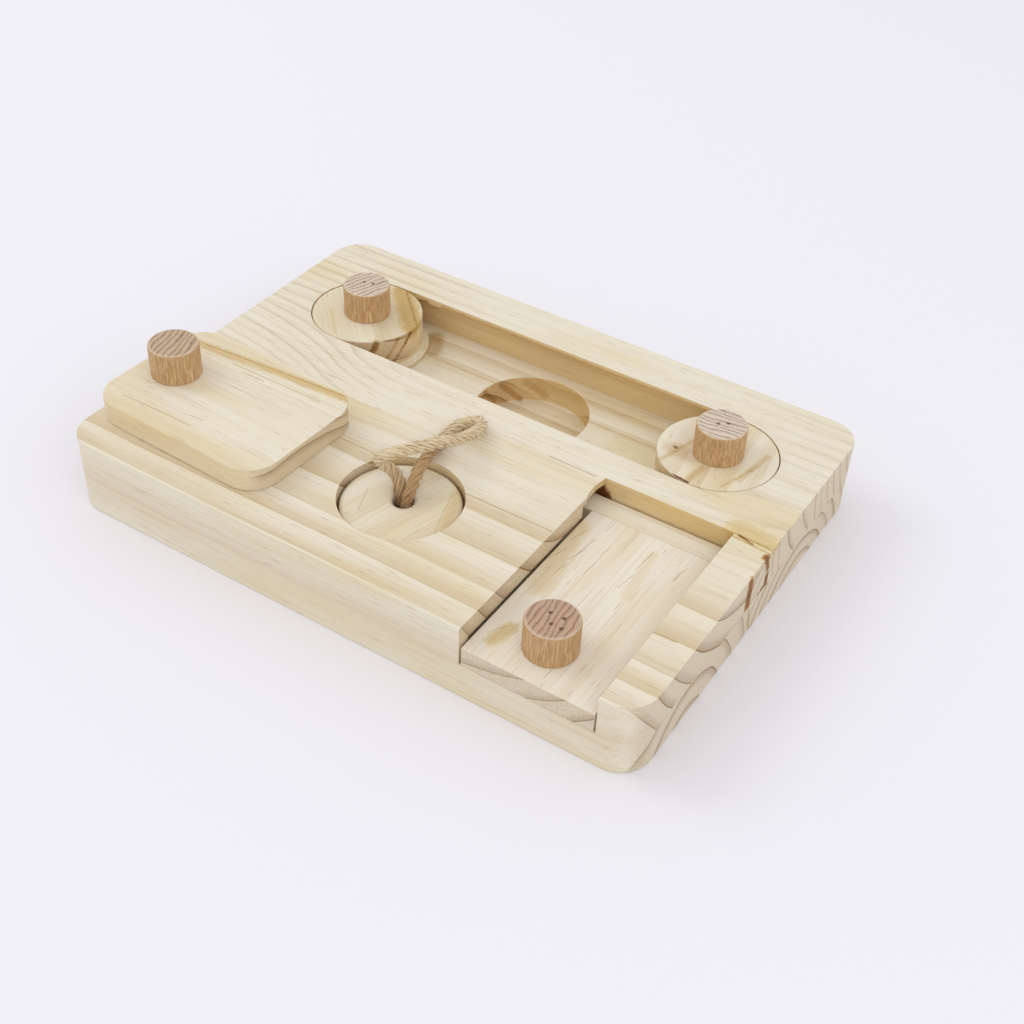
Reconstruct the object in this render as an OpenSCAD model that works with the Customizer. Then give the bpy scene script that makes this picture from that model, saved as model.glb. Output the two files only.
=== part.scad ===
// Foraging puzzle board for a small pet. Two pine planks, glued face to face, hold six
// treat cups in two rows. Two flanged pucks slide in an undercut channel over the back
// row. The front row has a swivel cover, a lift-out plug with a rope loop and a captive
// sliding lid. Both channels are cut through the upper plank, with their undercuts milled
// from its underside, so that the lower plank is their floor.
// Millimetres. +X is to the right, +Y to the back and +Z up. The origin is the middle
// of the board's underside.

/* [Board] */
// Length of the board, left to right
board_length = 180; // [160:1:220]
// Depth of the board, front to back
board_depth = 130; // [124:1:160]
// Thickness of the board
board_height = 23; // [22:0.5:30]
// Thickness of the lower plank, whose top is the floor of both channels
lower_height = 11; // [8:0.5:13]
// Radius of the board's upright corners
board_corner = 9; // [2:0.5:12]

/* [Cups] */
// Distance between two cups in a row
cup_pitch = 60.2; // [58:0.1:64]
// Diameter of a treat cup
cup_d = 34.6; // [30:0.2:36]
// Wood left under a cup
cup_floor = 2.5; // [2:0.5:5]
// Place of the back row, in front of or behind the middle
back_row_y = 32.5; // [30:0.1:34]
// Place of the front row
front_row_y = -33.4; // [-35:0.1:-31]

/* [Channel and pucks] */
// Width of the channel's opening at the top
channel_width = 34.4; // [30:0.2:36]
// Width of the undercut below the lips
undercut_width = 40.8; // [38:0.2:44]
// Thickness of the lips that hold the pucks down
lip_height = 2; // [1.5:0.1:4]
// Diameter of the puck that shows in the channel
puck_d = 33.8; // [29:0.2:35]
// Diameter of a puck's retaining flange
flange_d = 37.6; // [36:0.2:40]
// Thickness of the retaining flange
flange_height = 1.6; // [1.5:0.1:4]

/* [Knobs] */
// Diameter of a knob
knob_d = 14.2; // [10:0.1:18]
// Height of a knob
knob_height = 9.8; // [8:0.2:14]
// Rounding of a knob's top edge
knob_round = 0.7; // [0.2:0.1:2]

/* [Plug and rope] */
// Diameter of the recess that the plug drops into
plug_recess_d = 34; // [32:0.2:36]
// Diameter of the plug
plug_d = 32.6; // [31:0.2:33.4]
// Thickness of the plug
plug_height = 6; // [4:0.5:8]
// Height of the shoulder that the plug rests on
shoulder_height = 15; // [13:0.5:17]
// Diameter of the cup below the plug
plug_cup_d = 29; // [24:0.5:30]
// Diameter of the hole that the rope goes through
rope_hole_d = 5.6; // [5.5:0.1:8]
// Diameter of the rope
rope_d = 3; // [2.6:0.1:3]
// Diameter of a strand of the rope where the hole squeezes it
rope_squeezed_d = 2.6; // [2.3:0.1:2.6]

/* [Swivel cover] */
// Length of the cover
cover_length = 60.4; // [54:0.2:62]
// Depth of the cover
cover_depth = 43.5; // [38:0.5:46]
// Thickness of the cover
cover_height = 7; // [7:0.5:10]
// Radius of the cover's corners
cover_corner = 9; // [3:0.5:14]
// Angle that the cover is turned by at rest
cover_turn = -2.3; // [-5:0.1:5]

/* [Sliding lid] */
// Width of the lid's channel
lid_channel_width = 38.4; // [36:0.2:42]
// Depth of the grooves that the lid's ears run in
lid_groove_depth = 3.9; // [3:0.1:4.5]
// Thickness of the lid's panel
lid_height = 6; // [5:0.1:7]
// Depth of the cross bar at the back of the lid, front to back
bar_depth = 6.9; // [6:0.1:9]
// Distance that the lid slides before its ears reach the end of the grooves
lid_travel = 54; // [40:1:54]

/* [Fasteners] */
// Diameter of the knob screws
screw_d = 3.5; // [3:0.5:4]
// Diameter of the pivot screw
pivot_d = 4; // [3.5:0.5:5]

/* [Hidden] */

$fn = 96;
// Overshoot that takes a cut clean through a face
cut = 1;
// Gap under a piece that slides or turns on wood
run_gap = 0.1;

// Height at which the two planks are glued together
glue_line = lower_height;

// Places of the cups
left_cup = [-cup_pitch, back_row_y];
middle_cup = [0, back_row_y];
right_cup = [cup_pitch, back_row_y];
plug_cup = [0.5, front_row_y];
cover_cup = [-cup_pitch, front_row_y];
lid_cup = [cup_pitch - 0.5, front_row_y];

// Pucks, which end flush with the board
puck_base = glue_line + run_gap;
puck_height = board_height - puck_base;

// Swivel cover
pivot = [-36.5, front_row_y - 0.9];
cover_end = 7.9;
cover_knob_x = -41.2;
cover_knob_y = 0.4;
cover_base = board_height + run_gap;
counterbore_d = 10;
counterbore_depth = 4;
washer_d = 9;
washer_height = 0.8;
pivot_bore_d = pivot_d + 0.16;
pivot_head_d = 7;
pivot_head_height = 2.4;
pivot_grip = 5.5;

// Sliding lid
lid_centre_x = lid_cup[0];
lid_side_gap = 0.6;
lid_width = lid_channel_width - 2 * lid_side_gap;
pocket_back_y = 4.8;
bar_gap = 0.6;
bar_back_y = pocket_back_y - bar_gap;
panel_back_y = bar_back_y - bar_depth;
panel_front_y = -board_depth / 2;
lid_base = glue_line + run_gap;
groove_top = lid_base + lid_height + run_gap;
pocket_top = board_height - lip_height;
pocket_front_y = -7;
pocket_reach = lid_groove_depth + 0.4;
ear_reach = lid_groove_depth - 0.5;
ear_round = 1.5;
groove_cutter_r = 8;
corner_sweep_r = 13;
corner_bulge = 0.6;
corner_run = 1.5;
corner_y = 0;
groove_end_y = panel_back_y - lid_travel + 2.6;
tongue_depth = 3;
tongue_height = 2;
tongue_gap = 0.05;
lid_knob_x = -1;
lid_knob_y = -52.4;

// Knob screws
screw_head_d = 6.6;
screw_head_height = 1.9;
screw_hole_d = screw_d + 0.5;
pilot_d = screw_d - 0.9;
recess_width = 0.9;
recess_length = 3.4;
recess_depth = 1.1;
puck_screw_length = 18;
cover_screw_length = 14;
lid_screw_length = 12;

// Hole for the rope, a little behind the plug's centre
rope_hole = [0.4, front_row_y + 1.15];
rope_sides = 8;
// Points at each end of the rope's route that lie in the hole
squeezed_points = 3;
// The overhand knot under the plug, a rope that winds twice round a ring and three
// times through it
knot_ring_r = 4.2;
knot_winding_r = 2.1;
knot_place = [rope_hole[0], rope_hole[1], shoulder_height - 0.3 - knot_winding_r - rope_d / 2];
knot_rings = 34;
knot_opening = 12;
FIRST_TAIL = [[7.5, 1, -4.5], [7, 1.5, -1.5]];
SECOND_TAIL = [[7, -2, -3.5], [7.5, -2, -6]];
// Route of the rope: up out of the knot through the plug, over a fold to the left,
// back over itself to the loop's end, and down beside where it started
ROPE_ROUTE = [
    [-0.8, -31.6, 11.5],
    [-0.8, -31.6, 17],
    [-0.8, -31.6, 21],
    [-1.3, -31.5, 23.5],
    [-2.2, -30.5, 25],
    [-3.8, -29.5, 26],
    [-6, -29, 26.5],
    [-7.5, -30, 28],
    [-8, -31.5, 30.5],
    [-6.5, -32.5, 32.5],
    [-4, -31, 34],
    [-2, -28, 34],
    [0.5, -23.5, 33.5],
    [2.5, -19, 33],
    [3.9, -14, 31],
    [4.3, -8.5, 29],
    [3.6, -3, 27],
    [2.6, 1.5, 25.7],
    [0.5, 3.6, 25],
    [-2, 2, 24.5],
    [-3.5, -1, 24.5],
    [-4, -5, 24.5],
    [-3.5, -9, 25],
    [-2.5, -13.5, 25.5],
    [-1.5, -18, 26],
    [-0.5, -22.5, 26.5],
    [0.5, -26, 26],
    [1.6, -29.5, 25.2],
    [1.9, -32, 23.5],
    [1.6, -32.9, 21],
    [1.6, -32.9, 17],
    [1.6, -32.9, 11.5]
];

// Colours
pine = "#e8dfc8";
pine_warm = "#e0d2ac";
beech = "#cda882";
steel = "#b9bcc0";
jute = "#b08a5c";

// Flat rectangle with round corners, centred
module round_rect(size, r) {
    square([size[0] - 2 * r, size[1]], center = true);
    square([size[0], size[1] - 2 * r], center = true);
    for (x = [-1, 1], y = [-1, 1])
        translate([x * (size[0] / 2 - r), y * (size[1] / 2 - r)])
            circle(r);
}

// Flat slot with half-round ends around two places on one line
module flat_slot(from, to, width) {
    translate([from[0], from[1] - width / 2])
        square([to[0] - from[0], width]);
    for (p = [from, to])
        translate(p)
            circle(width / 2);
}

// Round hole from one height to another
module bore(place, d, from, to) {
    translate([place[0], place[1], from])
        cylinder(d = d, h = to - from);
}

// Plank with the board's outline, from one height to another
module plank(from, to) {
    translate([0, 0, from])
        linear_extrude(to - from)
            round_rect([board_length, board_depth], board_corner);
}

// Channel for the pucks through the upper plank, undercut from below so that lips are
// left at the top
module puck_channel() {
    translate([0, 0, glue_line - cut])
        linear_extrude(pocket_top - glue_line + cut)
            flat_slot(left_cup, right_cup, undercut_width);
    translate([0, 0, glue_line - cut])
        linear_extrude(board_height - glue_line + 2 * cut)
            flat_slot(left_cup, right_cup, channel_width);
}

// Outline of a side groove, whose ends have the radius of the cutter
module groove_outline(from_y, to_y, depth, r) {
    half = lid_channel_width / 2 + depth;
    translate([-half, from_y + r])
        square([2 * half, to_y - from_y - 2 * r]);
    translate([-half + r, from_y])
        square([2 * (half - r), to_y - from_y]);
    for (x = [-1, 1], y = [from_y + r, to_y - r])
        translate([x * (half - r), y])
            circle(r);
}

// Channel of the lid through the upper plank: open at the front, with grooves for the
// ears and a tall pocket at the back that the cross bar rests in
module lid_channel() {
    groove_r = groove_cutter_r;
    translate([lid_centre_x, 0, glue_line - cut]) {
        translate([-lid_channel_width / 2, panel_front_y - cut, 0])
            cube([lid_channel_width, pocket_back_y - panel_front_y + cut, board_height]);
        linear_extrude(groove_top - glue_line + cut)
            groove_outline(groove_end_y - groove_r, pocket_back_y, lid_groove_depth, groove_r);
        linear_extrude(pocket_top - glue_line + cut)
            groove_outline(pocket_front_y, pocket_back_y, pocket_reach, ear_round);
        corner_run_out(corner_sweep_r);
    }
}

// Shallow bulge in the channel's wall beside the pocket, where the cutter ran wide
module corner_run_out(r) {
    x = r - lid_channel_width / 2 - corner_bulge;
    intersection() {
        union() {
            for (y = [corner_y - corner_run, corner_y])
                translate([x, y, 0])
                    cylinder(r = r, h = board_height);
            translate([x - r, corner_y - corner_run, 0])
                cube([r, corner_run, board_height]);
        }
        translate([x - r, pocket_back_y - r, 0])
            cube([r, r, board_height]);
    }
}

// Block between the lid's pocket and the board's right end. The cross bar comes in
// through the slot that it leaves in the plank, and the glued block closes it.
module end_block(from_z, overshoot) {
    from_x = lid_centre_x + lid_channel_width / 2 + pocket_reach;
    length = board_length / 2 - from_x;
    translate([from_x - overshoot, pocket_front_y, from_z])
        cube([length + 2 * overshoot, pocket_back_y - pocket_front_y, pocket_top - from_z]);
}

module lower_plank() {
    color(pine)
    difference() {
        plank(0, glue_line);
        for (c = [left_cup, middle_cup, right_cup, cover_cup, lid_cup])
            bore(c, cup_d, cup_floor, glue_line + cut);
        bore(plug_cup, plug_cup_d, cup_floor, glue_line + cut);
        bore(pivot, pivot_bore_d, 0, glue_line + cut);
        bore(pivot, counterbore_d, -cut, counterbore_depth);
    }
}

module upper_plank() {
    color(pine)
    difference() {
        plank(glue_line, board_height);
        puck_channel();
        bore(cover_cup, cup_d, glue_line - cut, board_height + cut);
        bore(plug_cup, plug_recess_d, shoulder_height, board_height + cut);
        bore(plug_cup, plug_cup_d, glue_line - cut, shoulder_height + cut);
        bore(pivot, pivot_bore_d, glue_line - cut, board_height + cut);
        lid_channel();
        end_block(glue_line - cut, cut);
    }
}

module end_filler() {
    color(pine_warm)
    end_block(glue_line, 0);
}

// Turned knob with an eased top edge and a pilot hole for its screw
module knob(pilot_depth) {
    r = knob_d / 2;
    color(beech)
    rotate_extrude() {
        difference() {
            union() {
                square([r, knob_height - knob_round]);
                square([r - knob_round, knob_height]);
                translate([r - knob_round, knob_height - knob_round])
                    circle(knob_round, $fn = 32);
            }
            translate([-r, 0])
                square([r + pilot_d / 2, pilot_depth]);
            translate([-2 * r, -cut])
                square([2 * r, knob_height + 2 * cut]);
        }
    }
}

// Cross recess in a screw head, cut from below
module cross_recess() {
    for (a = [0, 90])
        rotate([0, 0, a])
            translate([-recess_length / 2, -recess_width / 2, -cut])
                cube([recess_length, recess_width, recess_depth + cut]);
}

// Countersunk wood screw that points up, with its head's flat face at z = 0
module knob_screw(length) {
    tip = 3;
    color(steel)
    difference() {
        union() {
            cylinder(d1 = screw_head_d, d2 = screw_d, h = screw_head_height);
            cylinder(d = screw_d, h = length - tip);
            translate([0, 0, length - tip])
                cylinder(d1 = screw_d, d2 = 0.6, h = tip);
        }
        cross_recess();
    }
}

// Hole and countersink for a knob screw that comes from below
module knob_screw_hole(depth) {
    head_gap = 0.2;
    translate([0, 0, -cut])
        cylinder(d = screw_hole_d, h = depth + 2 * cut);
    cylinder(d1 = screw_head_d + head_gap, d2 = screw_d + head_gap, h = screw_head_height);
}

// Puck that shows in the channel, with a flange at its foot that runs below the lips
module puck_body(place) {
    color(pine_warm)
    translate([place[0], place[1], puck_base])
        difference() {
            union() {
                cylinder(d = puck_d, h = puck_height);
                cylinder(d = flange_d, h = flange_height);
            }
            knob_screw_hole(puck_height);
        }
}

module puck_knob(place) {
    translate([place[0], place[1], board_height])
        knob(puck_base + puck_screw_length - board_height);
}

module puck_screw(place) {
    translate([place[0], place[1], puck_base])
        knob_screw(puck_screw_length);
}

module left_puck_body() { puck_body(left_cup); }
module left_puck_knob() { puck_knob(left_cup); }
module left_puck_knob_screw() { puck_screw(left_cup); }

module right_puck_body() { puck_body(right_cup); }
module right_puck_knob() { puck_knob(right_cup); }
module right_puck_knob_screw() { puck_screw(right_cup); }

// Puts a piece of the swivel cover in its place, turned as it rests
module on_pivot(z) {
    translate([pivot[0], pivot[1], z])
        rotate([0, 0, cover_turn])
            children();
}

module swivel_cover() {
    color(pine_warm)
    on_pivot(cover_base)
        difference() {
            linear_extrude(cover_height)
                translate([cover_end - cover_length / 2, 0])
                    round_rect([cover_length, cover_depth], cover_corner);
            translate([0, 0, -cut])
                cylinder(d = pilot_d, h = pivot_grip + cut);
            translate([cover_knob_x, cover_knob_y, 0])
                knob_screw_hole(cover_height);
        }
}

module swivel_knob() {
    on_pivot(cover_base + cover_height)
        translate([cover_knob_x, cover_knob_y, 0])
            knob(cover_screw_length - cover_height);
}

module swivel_knob_screw() {
    on_pivot(cover_base)
        translate([cover_knob_x, cover_knob_y, 0])
            knob_screw(cover_screw_length);
}

// Round-headed screw that holds the cover from below and turns with it
module pivot_screw() {
    washer_base = counterbore_depth - run_gap - washer_height;
    tip = 2;
    length = cover_base + pivot_grip - washer_base;
    color(steel)
    on_pivot(washer_base)
        difference() {
            union() {
                translate([0, 0, -pivot_head_height])
                    cylinder(d = pivot_head_d, h = pivot_head_height);
                cylinder(d = pivot_d, h = length - tip);
                translate([0, 0, length - tip])
                    cylinder(d1 = pivot_d, d2 = 1, h = tip);
            }
            translate([0, 0, -pivot_head_height])
                cross_recess();
        }
}

module pivot_washer() {
    color(steel)
    translate([pivot[0], pivot[1], counterbore_depth - run_gap - washer_height])
        difference() {
            cylinder(d = washer_d, h = washer_height);
            translate([0, 0, -cut])
                cylinder(d = pivot_d + 0.3, h = washer_height + 2 * cut);
        }
}

module plug_disc() {
    color(pine)
    difference() {
        bore(plug_cup, plug_d, shoulder_height, shoulder_height + plug_height);
        bore(rope_hole, rope_hole_d, shoulder_height - cut, shoulder_height + plug_height + cut);
    }
}

// Vector of length one
function unit(v) = v / norm(v);

// Direction of a route at one of its points
function heading(route, i) =
    unit(route[min(i + 1, len(route) - 1)] - route[max(i - 1, 0)]);

// Part of a vector that stands square to a direction
function square_to(v, direction) = unit(v - (v * direction) * direction);

// One side vector for each point, carried along the route so that the tube doesn't twist
function side_vectors(route) = [
    for (i = 0, side = square_to([1, 0, 0], heading(route, 0));
         i < len(route);
         i = i + 1, side = square_to(side, heading(route, min(i, len(route) - 1))))
        side
];

// Ring of points around one point of a route
function ring(centre, direction, side, r, sides) = [
    for (k = [0:sides - 1])
        let (a = 360 * k / sides)
            centre + r * (cos(a) * side + sin(a) * cross(direction, side))
];

// Closed tube of round section along a route, thinner at the first and last few points
module tube(route, d, end_d, end_points, sides) {
    last = len(route) - 1;
    across = side_vectors(route);
    radii = [for (i = [0:last]) (min(i, last - i) < end_points ? end_d : d) / 2];
    rings = [for (i = [0:last]) ring(route[i], heading(route, i), across[i], radii[i], sides)];
    points = [for (r = rings) for (p = r) p];
    walls = [
        for (i = [0:last - 1], k = [0:sides - 1])
            let (a = i * sides + k, b = i * sides + (k + 1) % sides)
                each [[a, b + sides, b], [a, a + sides, b + sides]]
    ];
    first_cap = [for (k = [0:sides - 1]) k];
    last_cap = [for (k = [sides - 1:-1:0]) last * sides + k];
    polyhedron(points, concat(walls, [first_cap, last_cap]), convexity = 10);
}

module pull_rope() {
    color(jute)
    tube(ROPE_ROUTE, rope_d, rope_squeezed_d, squeezed_points, rope_sides);
}

// Point of the knot's curve at an angle along it
function knot_point(a) =
    let (out = knot_ring_r + knot_winding_r * cos(3 * a))
        [out * cos(2 * a), out * sin(2 * a), knot_winding_r * sin(3 * a)];

// Knot that keeps the rope from pulling through the plug, with its two tails
module rope_knot() {
    step = (360 - 2 * knot_opening) / (knot_rings - 1);
    turns = [for (i = [0:knot_rings - 1]) knot_point(knot_opening + i * step)];
    color(jute)
    translate(knot_place)
        tube(concat(FIRST_TAIL, turns, SECOND_TAIL), rope_d, rope_d, 0, rope_sides);
}

module lid_panel() {
    panel_length = panel_back_y - panel_front_y;
    color(pine)
    translate([lid_centre_x, 0, lid_base])
        difference() {
            union() {
                translate([-lid_width / 2, panel_front_y, 0])
                    cube([lid_width, panel_length, lid_height]);
                translate([-lid_width / 2, panel_back_y - cut, (lid_height - tongue_height) / 2])
                    cube([lid_width, tongue_depth + cut, tongue_height]);
            }
            translate([lid_knob_x, lid_knob_y, 0])
                knob_screw_hole(lid_height);
        }
}

// Cross bar on the lid's back end, grooved for the panel's tongue, with an ear on
// each side that runs under the board's lip
module lid_rear_bar() {
    bar_width = lid_channel_width + 2 * ear_reach;
    groove_height = tongue_height + 2 * tongue_gap;
    color(pine_warm)
    translate([lid_centre_x, 0, lid_base])
        difference() {
            translate([0, panel_back_y + bar_depth / 2, 0])
                linear_extrude(lid_height)
                    round_rect([bar_width, bar_depth], ear_round);
            translate([-lid_width / 2 - tongue_gap, panel_back_y - cut, (lid_height - groove_height) / 2])
                cube([lid_width + 2 * tongue_gap, tongue_depth + tongue_gap + cut, groove_height]);
        }
}

module lid_knob() {
    translate([lid_centre_x + lid_knob_x, lid_knob_y, lid_base + lid_height])
        knob(lid_screw_length - lid_height);
}

module lid_knob_screw() {
    translate([lid_centre_x + lid_knob_x, lid_knob_y, lid_base])
        knob_screw(lid_screw_length);
}

lower_plank();
upper_plank();
end_filler();
swivel_cover();
swivel_knob();
swivel_knob_screw();
pivot_screw();
pivot_washer();
plug_disc();
pull_rope();
rope_knot();
left_puck_body();
left_puck_knob();
left_puck_knob_screw();
right_puck_body();
right_puck_knob();
right_puck_knob_screw();
lid_panel();
lid_rear_bar();
lid_knob();
lid_knob_screw();
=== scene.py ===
"""Looks of a small pet foraging puzzle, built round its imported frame.

The board, cover, pucks, plug and lid are bare sanded pine, the knobs turned beech and the
pull loop three-ply jute. Lengths are in metres, but in mm in the finishes and their marks,
and where a name ends in _mm.
"""
import logging
import math
import random
from dataclasses import dataclass
from enum import Enum
from functools import partial
from typing import Any, Callable, Iterable, Sequence

import bmesh
import bpy
from mathutils import Matrix, Vector


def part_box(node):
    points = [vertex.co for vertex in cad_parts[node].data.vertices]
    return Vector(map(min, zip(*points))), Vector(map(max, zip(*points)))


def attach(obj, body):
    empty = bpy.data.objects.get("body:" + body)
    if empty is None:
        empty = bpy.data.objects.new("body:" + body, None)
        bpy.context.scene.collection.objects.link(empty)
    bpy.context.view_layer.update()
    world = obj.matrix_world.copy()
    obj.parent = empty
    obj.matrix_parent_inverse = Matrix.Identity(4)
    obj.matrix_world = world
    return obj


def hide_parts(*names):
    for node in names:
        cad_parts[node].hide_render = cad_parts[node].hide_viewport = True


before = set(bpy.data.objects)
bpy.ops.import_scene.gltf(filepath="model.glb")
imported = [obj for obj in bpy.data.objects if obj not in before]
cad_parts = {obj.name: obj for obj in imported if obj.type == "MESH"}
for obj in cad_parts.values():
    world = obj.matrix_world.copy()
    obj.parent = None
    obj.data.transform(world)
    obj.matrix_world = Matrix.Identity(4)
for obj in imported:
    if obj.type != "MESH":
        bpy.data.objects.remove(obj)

Place = tuple[float, float]
Point = tuple[float, float, float]
Socket = bpy.types.NodeSocket
Material = bpy.types.Material
BMesh = bmesh.types.BMesh
AddNode = Callable[..., Socket]

LOG = logging.getLogger("foraging_puzzle")
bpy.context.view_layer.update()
MM = 0.001
BOARD_TOP_MM = 23.0
GLUE_LINE_MM = 11.0
BOARD_END_MM = 90.0
BOARD_BACK_MM = 65.0
BOARD_CORNER_MM = 9.0

# Settings of a node that mixes two colours, and of one that tints the first with the second
MIXED = {"data_type": "RGBA"}
TINTED = {"data_type": "RGBA", "blend_type": "MULTIPLY"}
# What is left of a point seen along Z
FLAT = (1.0, 1.0, 0.0)

# Route of the rope's middle line, point for point as in the part's source
ROPE_ROUTE = [
    (-0.0008, -0.0316, 0.0115), (-0.0008, -0.0316, 0.0170), (-0.0008, -0.0316, 0.0210),
    (-0.0013, -0.0315, 0.0235), (-0.0022, -0.0305, 0.0250), (-0.0038, -0.0295, 0.0260),
    (-0.0060, -0.0290, 0.0265), (-0.0075, -0.0300, 0.0280), (-0.0080, -0.0315, 0.0305),
    (-0.0065, -0.0325, 0.0325), (-0.0040, -0.0310, 0.0340), (-0.0020, -0.0280, 0.0340),
    (0.0005, -0.0235, 0.0335), (0.0025, -0.0190, 0.0330), (0.0039, -0.0140, 0.0310),
    (0.0043, -0.0085, 0.0290), (0.0036, -0.0030, 0.0270), (0.0026, 0.0015, 0.0257),
    (0.0005, 0.0036, 0.0250), (-0.0020, 0.0020, 0.0245), (-0.0035, -0.0010, 0.0245),
    (-0.0040, -0.0050, 0.0245), (-0.0035, -0.0090, 0.0250), (-0.0025, -0.0135, 0.0255),
    (-0.0015, -0.0180, 0.0260), (-0.0005, -0.0225, 0.0265), (0.0005, -0.0260, 0.0260),
    (0.0016, -0.0295, 0.0252), (0.0019, -0.0320, 0.0235), (0.0016, -0.0329, 0.0210),
    (0.0016, -0.0329, 0.0170), (0.0016, -0.0329, 0.0115),
]


def linear(hex_colour: str) -> tuple[float, float, float, float]:
    """Turns an sRGB hex colour into the linear values that a shader takes.

    Args:
        hex_colour: colour such as "#e8dfcb".

    Returns:
        Red, green, blue and alpha.
    """
    parts = [int(hex_colour[i:i + 2], 16) / 255 for i in (1, 3, 5)]
    red, green, blue = [
        p / 12.92 if p <= 0.04045 else ((p + 0.055) / 1.055) ** 2.4 for p in parts]
    return red, green, blue, 1.0


def feed(tree: bpy.types.NodeTree, socket: Socket, value: Any) -> None:
    """Links or sets an input.

    Args:
        tree: node tree of the input.
        socket: the input.
        value: a source socket, a hex colour, or the plain value.
    """
    if isinstance(value, Socket):
        tree.links.new(value, socket)
    else:
        socket.default_value = linear(value) if isinstance(value, str) else value


def add_node(tree: bpy.types.NodeTree, kind: str, *inputs: Any, out: str | None = None,
             **settings: Any) -> Socket:
    """Adds a shader node with its settings and links.

    Args:
        tree: node tree that gets the node.
        kind: the node's type name without its ShaderNode, and its operation after a colon.
        inputs: source, hex colour or value of each live input in turn, None to leave it.
        out: name of the output that is handed back, or else the first live one.
        settings: properties of the node itself.

    Returns:
        The output socket.
    """
    kind, _, operation = kind.partition(":")
    node = tree.nodes.new("ShaderNode" + kind)
    if operation:
        node.operation = operation
    for name, value in settings.items():
        setattr(node, name, value)
    for socket, value in zip([s for s in node.inputs if s.enabled], inputs):
        if value is not None:
            feed(tree, socket, value)
    return node.outputs[out] if out else next(s for s in node.outputs if s.enabled)


def set_ramp(socket: Socket, *stops: tuple[float, float | str]) -> Socket:
    """Gives a colour ramp its stops.

    Args:
        socket: the ramp's output.
        stops: place of each stop and its hex colour or grey value, in rising order.

    Returns:
        The same output.
    """
    elements = socket.node.color_ramp.elements
    while len(elements) < len(stops):
        elements.new(0.5)
    for element, (place, tone) in zip(elements, stops):
        element.position = place
        element.color = linear(tone) if isinstance(tone, str) else (tone, tone, tone, 1.0)
    return socket


class Run(Enum):
    """How a curve goes from point to point."""

    STRAIGHT = "VECTOR"
    SMOOTH = "AUTO"


def set_curve(socket: Socket, points: Sequence[Place], run: Run) -> Socket:
    """Gives a float curve its points.

    Args:
        socket: the curve's output.
        points: in and out value of each point, in rising order.
        run: how the curve goes from point to point.

    Returns:
        The same output.
    """
    mapping = socket.node.mapping
    mapping.use_clip = False
    curve = mapping.curves[0]
    curve.points[0].location, curve.points[1].location = points[0], points[-1]
    for place in points[1:-1]:
        curve.points.new(*place)
    for point in curve.points:
        point.handle_type = run.value
    mapping.update()
    return socket


class Finish:
    """A material with the finish's name, whose nodes its looks method makes."""

    def build(self) -> Material:
        """Makes the material.

        Returns:
            The new material.
        """
        material = bpy.data.materials.new(self.name)
        material.use_nodes = True
        tree = material.node_tree
        shader = tree.nodes["Principled BSDF"]
        for name, value in self.looks(partial(add_node, tree)).items():
            feed(tree, shader.inputs[name], value)
        return material

    def looks(self, add: AddNode) -> dict[str, Any]:
        """Makes the nodes that feed the shader.

        Args:
            add: add_node on the material's own tree.

        Returns:
            Source, hex colour or value for each of the shader's inputs that is set.
        """
        raise NotImplementedError

    @staticmethod
    def in_mm(add: AddNode) -> Socket:
        """Point on the piece, in mm."""
        return add("VectorMath:SCALE", add("TexCoord", out="Object"), 1 / MM)


class Axis(Enum):
    """Turn about Z, in degrees, that lays a piece's grain along X."""

    ALONG_X = 0.0
    ALONG_Y = -90.0


@dataclass(frozen=True)
class Stroke:
    """One thin mark on wood: a resin dash, a scorched line, dried glue or a painted shadow.

    Args:
        start: one end of its middle line.
        end: the other end.
        width: half of its width.
        depth: how strongly it stains the wood, from 0 to 1.
        colour: its colour.
    """

    start: Point
    end: Point
    width: float
    depth: float
    colour: str

    @classmethod
    def level(cls, z: float, *rows: Sequence[Any]) -> tuple["Stroke", ...]:
        """Marks at one height.

        Args:
            z: the height.
            rows: x and y of both ends, then width, depth and colour of each mark.

        Returns:
            The marks.
        """
        return tuple(cls((x, y, z), (to_x, to_y, z), *rest) for x, y, to_x, to_y, *rest in rows)

    @classmethod
    def end_face(cls, *rows: Sequence[Any]) -> tuple["Stroke", ...]:
        """Marks on the board's right end.

        Args:
            rows: y and z of both ends, then width, depth and colour of each mark.

        Returns:
            The marks.
        """
        return tuple(cls((BOARD_END_MM, y, z), (BOARD_END_MM, to_y, to_z), *rest)
                     for y, z, to_y, to_z, *rest in rows)


def even_rings(first: float, step: float, count: int) -> tuple[float, ...]:
    """Distances from the pith of evenly grown rings."""
    return tuple(first + step * i for i in range(count))


def rings_at(pith: Place, places: Iterable[float]) -> tuple[float, ...]:
    """Distances from the pith of the rings that cut the board's top at these places."""
    return tuple(sorted(math.hypot(y - pith[0], BOARD_TOP_MM - pith[1]) for y in places))


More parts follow.
